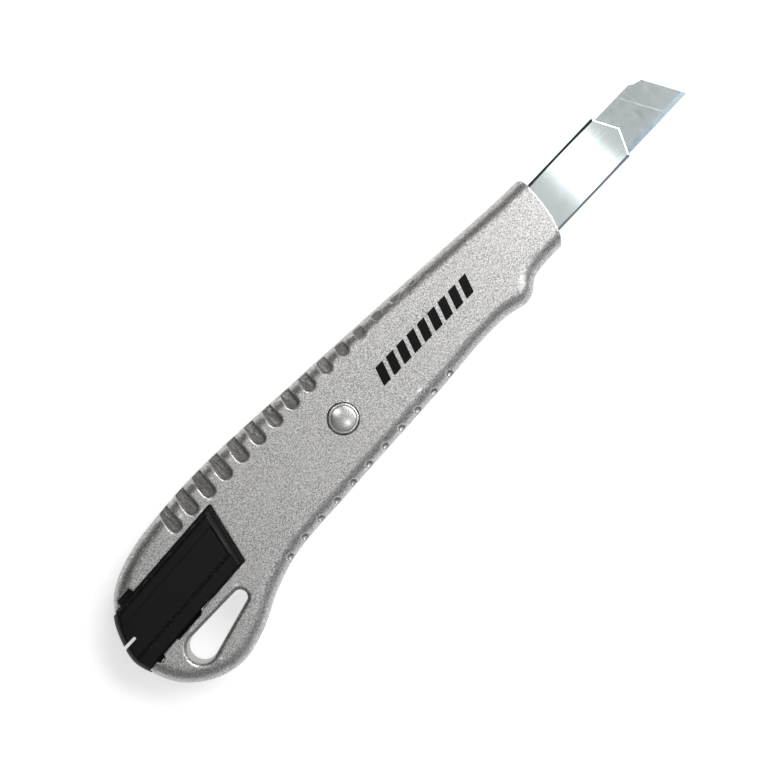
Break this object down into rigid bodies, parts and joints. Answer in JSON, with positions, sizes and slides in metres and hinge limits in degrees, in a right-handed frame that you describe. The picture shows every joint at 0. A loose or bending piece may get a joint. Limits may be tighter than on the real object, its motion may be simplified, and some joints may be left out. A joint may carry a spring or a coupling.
{
  "type": "hobby craft knife",
  "caption": "Slim metal craft knife: a scored snap-off blade slides in a folded steel sheath inside a cast handle, with a thumb slider, grip notches, lanyard hole and pull-off end cap.",
  "frame": {"origin": "middle of the bounding box in plan, on the level that the thumb slider and the cap's pull pad rest on", "axes": "+X along the blade to its tip, +Y towards the handle's spine with the long row of grip notches, +Z out of the flat back"},
  "size_m": [0.1484, 0.0308, 0.0099],
  "materials": {
    "handle_body": "satin",
    "blade_sheath": "polished",
    "sheath_rivet": "satin",
    "snap_blade": "satin",
    "blade_carrier": "satin",
    "lock_spring": "satin",
    "spring_rivet": "satin",
    "thumb_slider": "matte",
    "end_cap": "satin"
  },
  "bodies": {
    "handle": {"handle_body": "handle_body", "blade_sheath": "blade_sheath", "sheath_rivet": "sheath_rivet"},
    "carriage": {"blade_carrier": "blade_carrier", "snap_blade": "snap_blade", "lock_spring": "lock_spring", "spring_rivet": "spring_rivet"},
    "thumb_slider": {"thumb_slider": "thumb_slider"},
    "end_cap": {"end_cap": "end_cap"}
  },
  "joints": [
    {"name": "blade_slide", "type": "slide", "parent": "handle", "child": "carriage", "axis": [1, 0, 0], "range_m": [-0.0175, 0.0375]},
    {"name": "lock_press", "type": "slide", "parent": "carriage", "child": "thumb_slider", "axis": [0, 0, 1], "range_m": [0, 0.0008], "stiffness_N_per_m": 150, "springref_m": -0.01, "deforming": ["lock_spring"]},
    {"name": "cap_pull", "type": "slide", "parent": "handle", "child": "end_cap", "axis": [-0.999, -0.0436, 0], "range_m": [0, 0.034]}
  ]
}
